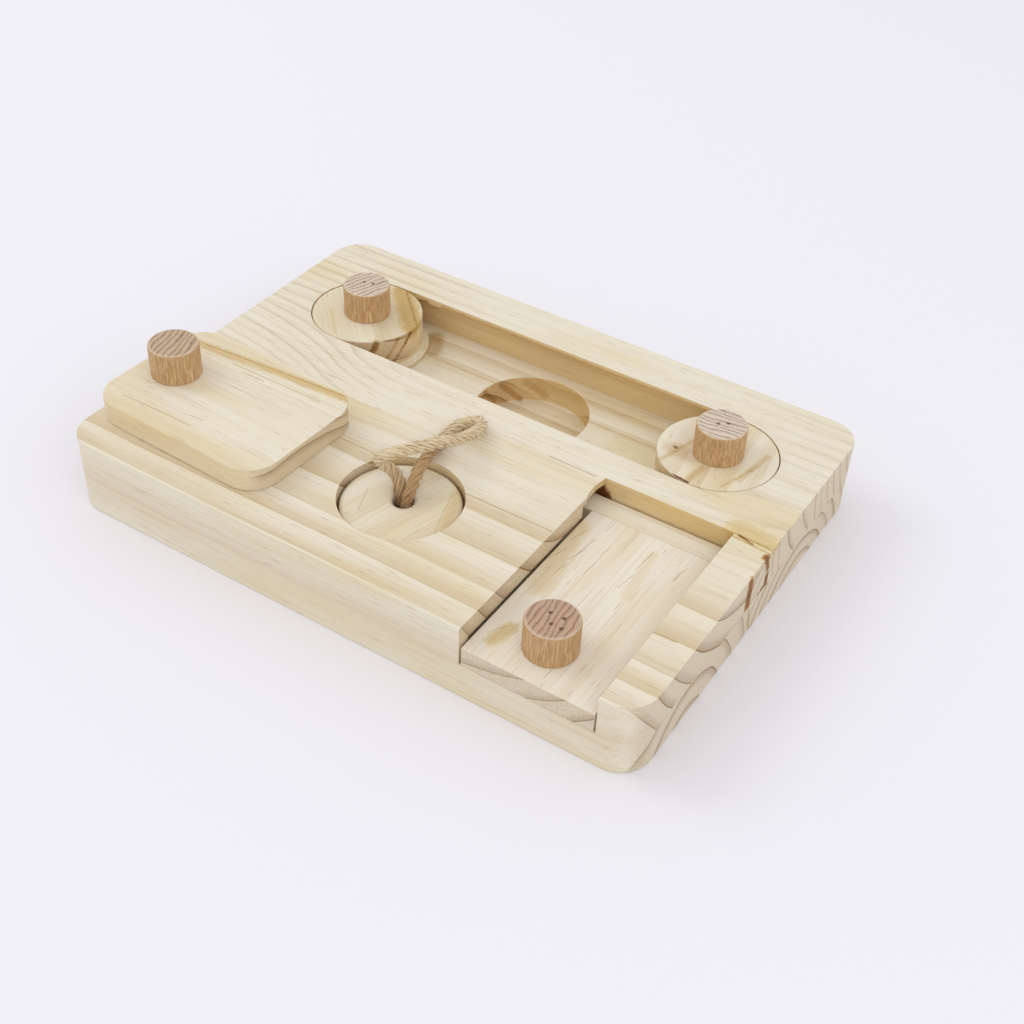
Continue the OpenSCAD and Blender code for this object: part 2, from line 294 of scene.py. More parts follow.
@dataclass(frozen=True)
class PineFinish(Finish):
    """Bare sanded pine, cut out of one stave whose yearly rings run through the piece.

    Earlywood is pale and soft, latewood a narrower tan band with a sharp outer edge, and
    every face shows the cut that it makes through the same rings. Sanding leaves it matt,
    with fibres that just catch the light. Cut walls, floors and upright sides get a warm tint
    that is partly the browning a cutter's heat leaves and partly painted warm shade.

    Args:
        name: the material's name.
        pith: place of the rings' centre across the grain and upwards.
        rings: distance of each ring's sharp edge from the centre.
        grain: direction of the grain.
        turn: angle of the piece about Z, in degrees.
        centre: point that the piece is turned about.
        bend: place along the grain and sideways shift of the rings there.
        bend_zone: places across the grain between which the bend fades out.
        fade: place along the grain and strength of the rings there.
        late_share: share of a ring that is latewood.
        early: colour of the earlywood.
        late: colour of the latewood.
        end_late: colour of latewood on end grain.
        strengths: strength of each ring, or nothing where chance sets it.
        contrast: strength of the rings on the long faces.
        end_contrast: strength of the rings on end grain.
        warp: how far the rings wander.
        seed: number that sets this piece apart from its neighbours.
        strokes: single marks on the piece.
    """

    name: str
    pith: Place
    rings: tuple[float, ...]
    grain: Axis = Axis.ALONG_X
    turn: float = 0.0
    centre: Place = (0.0, 0.0)
    bend: tuple[Place, ...] = ()
    bend_zone: Place = (12.0, 30.0)
    fade: tuple[Place, ...] = ()
    late_share: float = 0.5
    early: str = "#e9e1cd"
    late: str = "#c9b182"
    end_late: str = "#8f6f40"
    strengths: tuple[float, ...] = ()
    contrast: float = 0.6
    end_contrast: float = 1.8
    warp: float = 1.0
    seed: float = 0.0
    strokes: tuple[Stroke, ...] = ()

    # Most that the rings may shift in a bend, and most that a fade may strengthen them
    BEND_SPAN = 60.0
    FADE_SPAN = 2.0
    # Repeats per mm along and across the grain: the rings wander over 90 and 25 mm, the
    # tone over 80 and 14 mm, a hairline has 70 by 1.8 mm, a fibre 33 by 0.5 mm, a cell
    # with a resin canal 7.7 by 0.43 mm, and a pore of the end grain 0.4 mm
    WANDER = (0.011, 0.04, 0.04)
    TONE = (0.012, 0.07, 0.07)
    HAIRLINE = (0.014, 0.55, 0.55)
    FIBRE = (0.03, 1.9, 1.9)
    CANAL = (0.13, 2.3, 2.3)
    PORE = (0.5, 2.4, 2.4)
    # Share of the cells that hold a canal
    CANAL_SHARE = 0.25

    def looks(self, add: AddNode) -> dict[str, Any]:
        """Makes the wood's nodes, with Args and Returns as in Finish."""
        in_mm = self.in_mm(add)
        place = self._turned(add, add("VectorMath:SUBTRACT", in_mm, (*self.centre, 0.0)))
        late, line = self._rings(add, place)
        facing = add("SeparateXYZ", self._turned(add, add("TexCoord", out="Normal")))
        end = add("MapRange", add("Math:ABSOLUTE", facing), 0.55, 0.95,
                  interpolation_type="SMOOTHSTEP")
        # Long faces: the rings, a slow change of tone, and streaks along the fibres
        amount = add("Math:MULTIPLY", late, self.contrast, use_clamp=True)
        wood = add("Mix", amount, self.early, self.late, **MIXED)
        tone = add("VectorMath:MULTIPLY_ADD", place, self.TONE, (self.seed * 3.1, 0.0, 4.0))
        tone = set_ramp(add("ValToRGB", add("TexNoise", tone, 1.0, 2.0)),
                        (0.3, "#fcf9f4"), (0.5, 1.0), (0.7, "#f8f1de"))
        wood = add("Mix", 1.0, wood, tone, **TINTED)
        fibre = add("TexNoise", add("VectorMath:MULTIPLY", place, self.FIBRE), 1.0, 4.0, 0.6)
        streak = set_ramp(add("ValToRGB", fibre), (0.3, "#f1e9d6"), (0.48, 1.0))
        wood = add("Mix", 0.7, wood, streak, **TINTED)
        # Faint hairlines that follow the grain
        hair = add("VectorMath:MULTIPLY_ADD", place, self.HAIRLINE, (0.0, 3.0, self.seed))
        hair = set_ramp(add("ValToRGB", add("TexNoise", hair, 1.0, 1.0)), (0.555, 0.0),
                        (0.57, 1.0), (0.585, 0.0), (0.64, 0.0), (0.65, 0.8), (0.66, 0.0))
        wood = add("Mix", add("Math:MULTIPLY", hair, 0.3), wood, "#b59a70", **MIXED)
        # Short brown dashes of resin canals, which run into the wood at its ends
        cells = add("VectorMath:MULTIPLY_ADD", place, self.CANAL, (0.0, self.seed, 0.0))
        near, cell = (add("TexVoronoi", cells, 1.0, out=out) for out in ("Distance", "Position"))
        chosen = add("MapRange", add("TexWhiteNoise", cell), 1 - self.CANAL_SHARE, 1.0)
        dash = add("Math:MULTIPLY", add("MapRange", near, 0.1, 0.24, 1.0, 0.0), chosen)
        side = add("Math:SUBTRACT", 0.8, end, use_clamp=True)
        wood = add("Mix", add("Math:MULTIPLY", dash, side), wood, "#947347", **MIXED)
        # End grain: thin ring lines and pores
        amount = add("Math:MULTIPLY", line, self.end_contrast, use_clamp=True)
        ends = add("Mix", amount, "#ddd0b8", self.end_late, **MIXED)
        pores = add("TexNoise", add("VectorMath:MULTIPLY", place, self.PORE), 1.0, 3.0, 0.7)
        pores = set_ramp(add("ValToRGB", pores), (0.32, "#e2d9cc"), (0.6, 1.0))
        wood = add("Mix", end, wood, add("Mix", 0.8, ends, pores, **TINTED), **MIXED)
        # Warm tint of cut walls, floors and sides, partly a cutter's browning and partly painted
        # warm shade, and single marks, some of them painted shadows
        routed_and_shaded = add("Attribute", out="Fac", attribute_name="routed_and_shaded")
        wood = add("Mix", routed_and_shaded, wood, "#fdebc8", **TINTED)
        ragged = add("TexNoise", in_mm, 0.9, 3.0)
        for stroke in self.strokes:
            wood = self._marked(add, in_mm, ragged, wood, stroke)
        return {"Base Color": wood, "Roughness": add("MapRange", fibre, 0.3, 0.7, 0.56, 0.7),
                "IOR": 1.42, "Normal": add("Bump", 0.25, 0.05 * MM, None, fibre)}

    def _turned(self, add: AddNode, vector: Socket) -> Socket:
        """Turns a vector, so that the grain runs along its first axis."""
        angle = math.radians(-self.turn + self.grain.value)
        return add("Mapping", vector, (0.0, 0.0, angle), vector_type="VECTOR")

    @staticmethod
    def _along(add: AddNode, run: Socket, points: Sequence[Place], high: float) -> Socket:
        """Value that follows a smooth curve along the grain.

        Args:
            add: add_node on the material's own tree.
            run: place along the grain.
            points: place and value of each point of the curve.
            high: greatest value that the curve may take.

        Returns:
            The value's socket.
        """
        first, last = points[0][0], points[-1][0]
        shares = [((x - first) / (last - first), y / high) for x, y in points]
        curve = add("FloatCurve", None, add("MapRange", run, first, last))
        return add("MapRange", set_curve(curve, shares, Run.SMOOTH), 0.0, 1.0, 0.0, high)

    def _rings(self, add: AddNode, place: Socket) -> tuple[Socket, Socket]:
        """Cuts the yearly rings.

        Args:
            add: add_node on the material's own tree.
            place: point on the piece, with the grain along X.

        Returns:
            How much latewood there is, and how near the dark edge of a ring is.
        """
        run = add("SeparateXYZ", place)
        bent = place
        if self.bend:
            across = add("SeparateXYZ", place, out="Y")
            zone = add("MapRange", across, *self.bend_zone, 1.0, 0.0)
            shift = add("Math:MULTIPLY", self._along(add, run, self.bend, self.BEND_SPAN), zone)
            bent = add("VectorMath:ADD", place, add("CombineXYZ", None, shift))
        wander = (self.seed, self.seed * 1.7, 0.0)
        wander = add("VectorMath:MULTIPLY_ADD", place, self.WANDER, wander)
        wander = add("TexNoise", wander, 1.0, 2.0, out="Color")
        warp = 2 * self.warp
        warped = add("VectorMath:MULTIPLY_ADD", wander, (0.0, warp, warp), bent)
        pith = (0.0, self.pith[0] + self.warp, self.pith[1] + self.warp)
        out = add("VectorMath:SUBTRACT", warped, pith)
        out = add("VectorMath:LENGTH", add("VectorMath:MULTIPLY", out, (0.0, 1.0, 1.0)))
        first, last, count = self.rings[0], self.rings[-1], len(self.rings) - 1
        shares = [((ring - first) / (last - first), i / count) for i, ring in enumerate(self.rings)]
        curve = add("FloatCurve", None, add("MapRange", out, first, last))
        set_curve(curve, shares, Run.STRAIGHT)
        phase = add("Math:MULTIPLY", curve, count * 0.9999)
        width = self.late_share
        profile = set_ramp(
            add("ValToRGB", add("Math:FRACT", phase)), (0.0, 0.2), (0.03, 0.0),
            (max(0.1, 1 - 1.5 * width), 0.03), (1 - 0.9 * width, 0.35), (1 - 0.5 * width, 0.65),
            (0.93, 0.75), (0.965, 1.0), (1.0, 0.55))
        if self.strengths:
            strength = add("ValToRGB", curve)
            set_ramp(strength, *((i / count, value) for i, value in enumerate(self.strengths)))
            strength.node.color_ramp.interpolation = "CONSTANT"
        else:
            index = add("Math:ADD", add("Math:FLOOR", phase), self.seed)
            chance = add("TexWhiteNoise", index, noise_dimensions="1D")
            strength = add("MapRange", chance, 0.0, 1.0, 0.45, 1.0)
        if self.fade:
            faded = self._along(add, run, self.fade, self.FADE_SPAN)
            strength = add("Math:MULTIPLY", strength, faded)
        edge = add("Math:POWER", profile, 4.0)
        return add("Math:MULTIPLY", profile, strength), add("Math:MULTIPLY", edge, strength)

    def _marked(self, add: AddNode, in_mm: Socket, ragged: Socket, wood: Socket,
                stroke: Stroke) -> Socket:
        """Marks the wood with one stroke, a stain or a painted shadow, golden where it is thin and
        browner where it is deep.

        Args:
            add: add_node on the material's own tree.
            in_mm: point on the piece.
            ragged: noise that breaks up the mark's outline.
            wood: colour of the wood.
            stroke: the mark.

        Returns:
            The new colour's socket.
        """
        start, run = Vector(stroke.start), Vector(stroke.end) - Vector(stroke.start)
        offset = add("VectorMath:SUBTRACT", in_mm, start)
        share = add("Clamp", add("VectorMath:DOT_PRODUCT", offset, run / run.length_squared))
        gap = add("VectorMath:DISTANCE", offset, add("VectorMath:SCALE", run, share))
        gap = add("Math:MULTIPLY_ADD", ragged, -stroke.width, gap)
        mask = add("MapRange", gap, 0.0, 0.8 * stroke.width, stroke.depth, 0.0)
        stain = [f / b for b, f in zip(linear(self.early)[:3], linear(stroke.colour))]
        return add("VectorMath:MULTIPLY", wood, add("VectorMath:POWER", stain, mask))


@dataclass(frozen=True)
class BeechFinish(Finish):
    """Turned beech dowel.

    The top shows striped pinkish end grain with a painted highlight along its rim, and the side
    the short upright flecks of its rays. Turning and sanding leave both matt.

    Args:
        name: the material's name.
        centre: foot of the knob's axis.
        radius: radius of the knob.
        angle: direction of the stripes on the top, in degrees.
        dots: places of the pin holes in the top, from the knob's axis, drawn as dark dots of
            painted shade.
        top: colour of the end grain.
        seed: number that sets this knob apart from the others.
    """

    name: str
    centre: Point
    radius: float
    angle: float
    dots: tuple[Place, ...]
    top: str
    seed: float

    # Distance between two stripes
    SPACING = 1.55
    # Repeats per mm across and along the dowel: the stripes wander over 8 by 3 mm, a fibre
    # has 0.33 by 4.5 mm and a ray's fleck 0.7 by 2 mm
    WANDER = (0.12, 0.3, 0.02)
    FIBRE = (3.0, 3.0, 0.22)
    RAY = (1.5, 1.5, 0.5)

    def looks(self, add: AddNode) -> dict[str, Any]:
        """Makes the dowel's nodes, with Args and Returns as in Finish."""
        place = add("VectorMath:SUBTRACT", self.in_mm(add), self.centre)
        turn = (0.0, 0.0, math.radians(-self.angle))
        turned = add("Mapping", place, turn, vector_type="VECTOR")
        grain = add("TexNoise", add("VectorMath:MULTIPLY", turned, self.FIBRE), 1.0, 4.0, 0.7)
        # Wandering dark stripes of the end grain, made ragged by the fibres
        wander = add("VectorMath:MULTIPLY_ADD", turned, self.WANDER, (self.seed, 0.0, 0.0))
        across = add("SeparateXYZ", turned, out="Y")
        bent = add("Math:MULTIPLY_ADD", add("TexNoise", wander, 1.0, 2.0), 3.0, across)
        stripe = add("Math:FRACT", add("Math:MULTIPLY", bent, 1 / self.SPACING))
        stripe = set_ramp(add("ValToRGB", stripe), (0.0, 0.1), (0.45, 0.15), (0.72, 0.9),
                          (0.84, 1.0), (0.97, 0.15))
        stripe = add("Math:MULTIPLY", stripe, add("MapRange", grain, 0.35, 0.62, 0.25, 1.0))
        top = add("Mix", stripe, self.top, "#74503a", **MIXED)
        # Painted highlight along the rim of the top, where the rounded edge catches the light
        out = add("VectorMath:LENGTH", add("VectorMath:MULTIPLY", place, FLAT))
        rim = add("MapRange", out, self.radius - 0.9, self.radius - 0.3, 0.0, 0.65)
        top = add("Mix", rim, top, "#dcc7aa", **MIXED)
        # Turned side, with its fibres and the upright flecks of the rays
        side = set_ramp(add("ValToRGB", grain), (0.3, "#9c7343"), (0.5, "#bf9a6b"),
                        (0.7, "#e2c49c"))
        side = add("Mix", add("Math:MULTIPLY", stripe, 0.35), side, "#b58453", **MIXED)
        rays = add("TexVoronoi", add("VectorMath:MULTIPLY", turned, self.RAY), 1.0)
        fleck = add("MapRange", rays, 0.1, 0.24, 0.6, 0.0)
        side = add("Mix", fleck, side, "#7d5230", **MIXED)
        up = add("SeparateXYZ", add("TexCoord", out="Normal"), out="Z")
        facing = add("MapRange", up, 0.5, 0.8, interpolation_type="SMOOTHSTEP")
        colour = add("Mix", facing, side, top, **MIXED)
        # The pin holes are painted as dark dots of shade, with no hole in the mesh
        for dot in self.dots:
            offset = add("VectorMath:SUBTRACT", place, (*dot, 0.0))
            gap = add("VectorMath:LENGTH", add("VectorMath:MULTIPLY", offset, FLAT))
            gap = add("Math:MULTIPLY_ADD", grain, 0.5, gap)
            hole_shade = add("Math:MULTIPLY", add("MapRange", gap, 0.6, 0.95, 0.85, 0.0), facing)
            colour = add("Mix", hole_shade, colour, "#4c2f20", **MIXED)
        return {"Base Color": colour, "Roughness": 0.58, "IOR": 1.46,
                "Normal": add("Bump", 0.4, 0.07 * MM, None, grain)}


@dataclass(frozen=True)
class JuteFinish(Finish):
    """Spun jute yarn: dry, matt fibres that run along each strand, with painted shade in its
    grooves and near both ends.

    Args:
        name: the material's name.
        run: length of the rope, which sets where the painted shade near both ends lies.
    """

    name: str
    run: float

    # Lengths from either end between which the painted shade near the hole fades from brown to pale
    SHADED_ENDS = (11.9, 25.5)
    # Radii of a strand's surface between which the painted shade of a groove fades out towards a
    # yarn's crest
    SHADED_GROOVE = (0.75, 0.835)
    # Repeats per mm round and along the strand: a fibre has 0.17 by 2.5 mm
    FIBRE = (6.0, 6.0, 0.4)

    def looks(self, add: AddNode) -> dict[str, Any]:
        """Makes the yarn's nodes, with Args and Returns as in Finish."""
        yarn = add("Attribute", out="Vector", attribute_name="yarn_place")
        fibre = add("TexNoise", add("VectorMath:MULTIPLY", yarn, self.FIBRE), 1.0, 4.0, 0.75)
        colour = set_ramp(add("ValToRGB", fibre), (0.3, "#b08d5a"), (0.45, "#dac398"),
                          (0.58, "#ecdcbc"), (0.75, "#f2e7cf"))
        # Painted shade in the grooves between the yarns
        crest = add("VectorMath:LENGTH", add("VectorMath:MULTIPLY", yarn, FLAT))
        groove = add("MapRange", crest, *self.SHADED_GROOVE, 0.6, 0.0)
        colour = add("Mix", groove, colour, "#7f5c33", **MIXED)
        # Painted shade: browner near both ends, where the rope rises steeply out of the hole
        along = add("SeparateXYZ", yarn, out="Z")
        from_end = add("Math:MINIMUM", along, add("Math:SUBTRACT", self.run, along))
        end_shade = add("MapRange", from_end, *self.SHADED_ENDS, 0.8, 0.0)
        colour = add("Mix", end_shade, colour, "#d0b083", **TINTED)
        return {"Base Color": colour, "Roughness": 0.85, "IOR": 1.45, "Sheen Weight": 0.2,
                "Sheen Roughness": 0.6, "Normal": add("Bump", 0.8, 0.1 * MM, None, fibre)}


@dataclass(frozen=True)
class ZincFinish(Finish):
    """Zinc-plated steel of the screws and the washer: bright, with a faint cloudy bloom."""

    name: str = "zinc_plated_steel"

    def looks(self, add: AddNode) -> dict[str, Any]:
        """Makes the plating's nodes, with Args and Returns as in Finish."""
        cloud = add("TexNoise", self.in_mm(add), 0.9, 3.0)
        return {"Base Color": "#bdbfc2", "Metallic": 1.0,
                "Roughness": add("MapRange", cloud, 0.3, 0.7, 0.28, 0.46)}


@dataclass(frozen=True)
class PaperFinish(Finish):
    """Matt white paper of the floor, which hardly shines."""

    name: str = "matt_white_paper"

    def looks(self, add: AddNode) -> dict[str, Any]:
        """Gives the paper its plain values, with Args and Returns as in Finish."""
        return {"Base Color": "#efeef2", "Roughness": 0.9, "Specular IOR Level": 0.1}


class Shape:
    """Mesh work that the sub-assemblies share."""

    # Edges that turn by more than this stay crisp, and those past the next are broken
    CRISP = math.radians(20)
    BROKEN = math.radians(50)

    @staticmethod
    def to_object(bm: BMesh, name: str, *materials: Material) -> bpy.types.Object:
        """Turns a bmesh into an object whose flat faces stay crisp.

        Args:
            bm: the finished bmesh, which is freed.
            name: the piece's name.
            materials: the piece's materials, in slot order.

        Returns:
            The new object, linked to the scene.
        """
        bm.normal_update()
        for face in bm.faces:
            face.smooth = True
        for edge in bm.edges:
            edge.smooth = edge.is_manifold and edge.calc_face_angle(math.pi) < Shape.CRISP
        mesh = bpy.data.meshes.new(name)
        bm.to_mesh(mesh)
        bm.free()
        for material in materials:
            mesh.materials.append(material)
        piece = bpy.data.objects.new(name, mesh)
        bpy.context.scene.collection.objects.link(piece)
        return piece

    @staticmethod
    def dress(piece: bpy.types.Object, node: str | None, body: str, slot: str) -> None:
        """Puts a piece in its place in the frame and reports it.

        Args:
            piece: the finished piece.
            node: name of the node that it stands for, if any.
            body: body that it rides on.
            slot: not used.
        """
        if node:
            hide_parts(node)
        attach(piece, body)
        LOG.info("%s: %d faces", piece.name, len(piece.data.polygons))

    @staticmethod
    def eased(node: str, width: float, segments: int = 2) -> BMesh:
        """Copies a frame node, with its sharp edges broken as sandpaper leaves them.

        Args:
            node: name of the node.
            width: width of the broken edge.
            segments: faces across the broken edge.

        Returns:
            A bmesh of the eased copy.
        """
        bm = bmesh.new()
        bm.from_mesh(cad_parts[node].data)
        bmesh.ops.remove_doubles(bm, verts=bm.verts, dist=0.002 * MM)
        bmesh.ops.dissolve_limit(bm, angle_limit=math.radians(0.3), verts=bm.verts, edges=bm.edges)
        edges = [e for e in bm.edges if e.is_manifold and e.calc_face_angle(0.0) > Shape.BROKEN]
        bmesh.ops.bevel(bm, geom=edges, offset=width, segments=segments, profile=0.5,
                        affect="EDGES", material=-1, clamp_overlap=True)
        return bm

    @staticmethod
    def browned_and_shaded(bm: BMesh, depth: Callable[[Vector, Vector], float]) -> None:
        """Stores for each face the strength of its warm tint, partly a cutter's browning and partly
        painted warm shade.

        Args:
            bm: the piece's bmesh.
            depth: gives a face's depth, from 0 to 1, from its middle and its normal.
        """
        bm.normal_update()
        layer = bm.faces.layers.float.new("routed_and_shaded")
        for face in bm.faces:
            face[layer] = depth(face.calc_center_median(), face.normal)

    @staticmethod
    def frames(line: Sequence[Vector]) -> list[tuple[Vector, Vector, Vector, float]]:
        """Carries axes along a line without twist.

        Args:
            line: the line's points.

        Returns:
            Heading, two side vectors and length so far at each point.
        """
        side = (line[1] - line[0]).orthogonal().normalized()
        frames, run = [], 0.0
        for i, point in enumerate(line):
            ahead = line[min(i + 1, len(line) - 1)] - line[max(i - 1, 0)]
            heading = ahead.normalized()
            side = (side - side.dot(heading) * heading).normalized()
            if i:
                run += (point - line[i - 1]).length
            frames.append((heading, side, heading.cross(side), run))
        return frames


@dataclass
class Studio:
    """Plain pale floor, soft light and the camera at the photo's place.

    Args:
        azimuth: direction of the camera about Z, in degrees.
        elevation: height of the camera above the horizon, in degrees.
        roll: turn of the camera about its own axis, in degrees.
        distance: distance from the camera to its target.
        focal_px: focal length in pixels of the square picture.
        floor_reach: distance from the middle of the floor to its sides.
        air: colour of the light from all round.
        lamps: name, place and power in watts of each lamp.
    """

    azimuth: float = 30.92
    elevation: float = 40.5
    roll: float = 2.85
    distance: float = 0.41459
    target: Point = (0.01371, 0.00146, 0.0)
    focal_px: float = 1459.49
    picture_px: float = 1024.0
    sensor_mm: float = 36.0
    floor_reach: float = 4.0
    air: str = "#fcfcff"
    air_strength: float = 0.91
    lamps: tuple[tuple[str, Point, float], ...] = (
        ("softbox_left", (-1.0, -0.2, 1.05), 2.6), ("softbox_right", (0.9, -0.5, 0.85), 1.5))
    lamp_size: float = 0.6

    def build(self) -> None:
        """Makes the camera, the floor, the world and the lamps."""
        bpy.context.scene.view_settings.view_transform = "Standard"
        self._camera()
        self._floor()
        self._world()
        for lamp in self.lamps:
            self._lamp(*lamp)

    def _camera(self) -> None:
        """Aims the camera from its angles and turns it by its roll."""
        azimuth, elevation, roll = map(math.radians, (self.azimuth, self.elevation, self.roll))
        level = math.cos(elevation)
        back = Vector((
            math.sin(azimuth) * level, -math.cos(azimuth) * level, math.sin(elevation)))
        right = Vector((math.cos(azimuth), math.sin(azimuth), 0.0))
        up = back.cross(right)
        turned_right = right * math.cos(roll) + up * math.sin(roll)
        turned_up = up * math.cos(roll) - right * math.sin(roll)
        data = bpy.data.cameras.new("photo_camera")
        data.sensor_width = self.sensor_mm
        data.lens = self.sensor_mm * self.focal_px / self.picture_px
        data.clip_start, data.clip_end = 0.01, 20.0
        camera = bpy.data.objects.new("photo_camera", data)
        turn = Matrix((turned_right, turned_up, back)).transposed().to_4x4()
        place = Vector(self.target) + back * self.distance
        camera.matrix_world = Matrix.Translation(place) @ turn
        bpy.context.scene.collection.objects.link(camera)
        bpy.context.scene.camera = camera

    def _floor(self) -> None:
        """Lays a wide matt floor under the board."""
        bm = bmesh.new()
        bmesh.ops.create_grid(bm, x_segments=1, y_segments=1, size=self.floor_reach)
        Shape.to_object(bm, "floor", PaperFinish().build())

    def _world(self) -> None:
        """Sets an even white world."""
        world = bpy.data.worlds.new("soft_white_room")
        world.use_nodes = True
        background = world.node_tree.nodes["Background"]
        feed(world.node_tree, background.inputs["Color"], self.air)
        feed(world.node_tree, background.inputs["Strength"], self.air_strength)
        bpy.context.scene.world = world

    def _lamp(self, name: str, place: Point, power: float) -> None:
        """Hangs one square soft lamp that faces the board.

        Args:
            name: the lamp's name.
            place: where it hangs.
            power: its power in watts.
        """
        data = bpy.data.lights.new(name, "AREA")
        data.size = self.lamp_size
        data.energy = power
        lamp = bpy.data.objects.new(name, data)
        lamp.location = place
        lamp.rotation_mode = "QUATERNION"
        lamp.rotation_quaternion = Vector(place).to_track_quat("Z", "Y")
        bpy.context.scene.collection.objects.link(lamp)


@dataclass
class RopeLoop:
    """Three-ply jute rope, a doubled loop that is knotted under the plug.

    Args:
        diameter: diameter of the laid rope.
        strand_radius: radius of one of its three strands.
        strand_offset: distance of a strand's middle from the rope's.
        lay: length in which a strand goes once round.
        steps: points along the rope for each lay.
        sides: points round a strand.
        swell: share by which a strand's thickness swells and shrinks.
        swell_run: length in which it does so, over a turn of one radian.
        uneven: most that a point's thickness strays, as a share.
        yarns: number of yarns that show round a strand.
        groove: depth of the grooves between them, as a share of the radius.
        squeezed: share of its size that the rope keeps in the plug's hole.
        squeezed_run: length at each end that lies in the hole.
        widening: length over which it regains its size.
        loop_hairs: number of loose fibres on the loop.
        knot_hairs: number of loose fibres on the knot.
        hair_length: least and greatest length of a fibre.
        hair_radius: least and greatest radius at its root.
        hair_lift: least and greatest share of its length that it rises.
        hair_drift: greatest share of its length that it bends sideways.
        tufted: share of the fibres in the two tufts above the hole.
        tufts: points from each end of the line to its tuft.
        knot_ring: radius of the ring that the knot's rope winds round.
        knot_winding: distance from that ring to the rope.
        knot_opening: angle at which the knot starts and ends, in degrees.
        first_tail: points of the tail before the knot, from its middle.
        second_tail: points of the tail after it.
    """

    diameter: float = 0.0035
    strand_radius: float = 0.00093
    strand_offset: float = 0.00083
    lay: float = 0.0084
    steps: int = 24
    sides: int = 30
    swell: float = 0.04
    swell_run: float = 0.0031
    uneven: float = 0.012
    yarns: int = 5
    groove: float = 0.2
    squeezed: float = 0.82
    squeezed_run: float = 0.0095
    widening: float = 0.003
    loop_hairs: int = 1000
    knot_hairs: int = 160
    hair_length: Place = (0.0012, 0.0042)
    hair_radius: Place = (0.00002, 0.000038)
    hair_lift: Place = (0.15, 0.55)
    hair_drift: float = 0.35
    tufted: float = 0.16
    tufts: tuple[int, int] = (26, 39)
    knot_place: Point = (0.0004, -0.03225, 0.0111)
    knot_ring: float = 0.0042
    knot_winding: float = 0.0021
    knot_opening: float = 12.0
    knot_points: int = 34
    first_tail: tuple[Point, ...] = ((0.0075, 0.001, -0.0045), (0.007, 0.0015, -0.0015))
    second_tail: tuple[Point, ...] = ((0.007, -0.002, -0.0035), (0.0075, -0.002, -0.006))

    def build(self) -> None:
        line = self._smooth([Vector(p) for p in ROPE_ROUTE])
        knot_line = self._smooth(self._knot_line())
        length = sum((b - a).length for a, b in zip(line, line[1:]))
        jute = JuteFinish("spun_jute", length / MM).build()
        rope = self._laid("pull_rope_laid", line, jute, True)
        fuzz = self._fuzz("pull_rope_fuzz", line, self.loop_hairs, jute, 7)
        knot = self._laid("rope_knot_laid", knot_line, jute, False)
        knot_fuzz = self._fuzz("rope_knot_fuzz", knot_line, self.knot_hairs, jute, 11)
        pieces = ((rope, "pull_rope"), (fuzz, None), (knot, "rope_knot"), (knot_fuzz, None))
        for piece, node in pieces:
            Shape.dress(piece, node, "plug", "jute_rope")
        LOG.info("rope length %.1f mm", length / MM)

    def _knot_line(self) -> list[Vector]:
        """Middle line of the overhand knot with its two tails, as in the part's source.

        Returns:
            The line's points.
        """
        step = (360 - 2 * self.knot_opening) / (self.knot_points - 1)
        turns = []
        for i in range(self.knot_points):
            angle = math.radians(self.knot_opening + i * step)
            out = self.knot_ring + self.knot_winding * math.cos(3 * angle)
            turns.append(Vector((out * math.cos(2 * angle), out * math.sin(2 * angle),
                                 self.knot_winding * math.sin(3 * angle))))
        points = (*map(Vector, self.first_tail), *turns, *map(Vector, self.second_tail))
        return [Vector(self.knot_place) + point for point in points]

    def _smooth(self, points: Sequence[Vector]) -> list[Vector]:
        """Runs a smooth curve through points and spaces it evenly.

        Args:
            points: points that the curve goes through.

        Returns:
            Evenly spaced points on the curve.
        """
        fine, per_point = [], 16
        for i in range(len(points) - 1):
            a, b = points[max(i - 1, 0)], points[i]
            c, d = points[i + 1], points[min(i + 2, len(points) - 1)]
            for t in (k / per_point for k in range(per_point)):
                fine.append(0.5 * (2 * b + (c - a) * t + (2 * a - 5 * b + 4 * c - d) * t * t
                                   + (3 * b - a - 3 * c + d) * t * t * t))
        fine.append(points[-1])
        runs = [0.0]
        for a, b in zip(fine, fine[1:]):
            runs.append(runs[-1] + (b - a).length)
        count = max(2, round(runs[-1] / self.lay * self.steps))
        even, i = [], 0
        for k in range(count + 1):
            want = runs[-1] * k / count
            while i < len(runs) - 2 and runs[i + 1] < want:
                i += 1
            share = (want - runs[i]) / max(runs[i + 1] - runs[i], 1e-9)
            even.append(fine[i].lerp(fine[i + 1], min(1.0, share)))
        return even

    def _laid(self, name: str, line: Sequence[Vector], jute: Material,
              squeeze: bool) -> bpy.types.Object:
        """Lays three strands round a line.

        Args:
            name: the piece's name.
            line: middle line of the rope.
            jute: the yarn's material.
            squeeze: whether the rope is thinner at both ends, in the plug's hole.

        Returns:
            The rope.
        """
        bm = bmesh.new()
        bm.verts.layers.float_vector.new("yarn_place")
        frames = Shape.frames(line)
        total = frames[-1][3]
        rng = random.Random(name)
        for strand in range(3):
            path, radii = [], []
            for point, (_, side, up, run) in zip(line, frames):
                angle = 2 * math.pi * (run / self.lay + strand / 3)
                beyond = (min(run, total - run) - self.squeezed_run) / self.widening
                size = self.squeezed + (1 - self.squeezed) * min(1.0, max(0.0, beyond))
                if not squeeze:
                    size = 1.0
                out = math.cos(angle) * side + math.sin(angle) * up
                path.append(point + size * self.strand_offset * out)
                swell = 1 + self.swell * math.sin(run / self.swell_run + strand * 2.1)
                swell += rng.uniform(-self.uneven, self.uneven)
                radii.append(self.strand_radius * swell * size)
            self._swept(bm, path, radii, self.sides, self.yarns)
        return Shape.to_object(bm, name, jute)

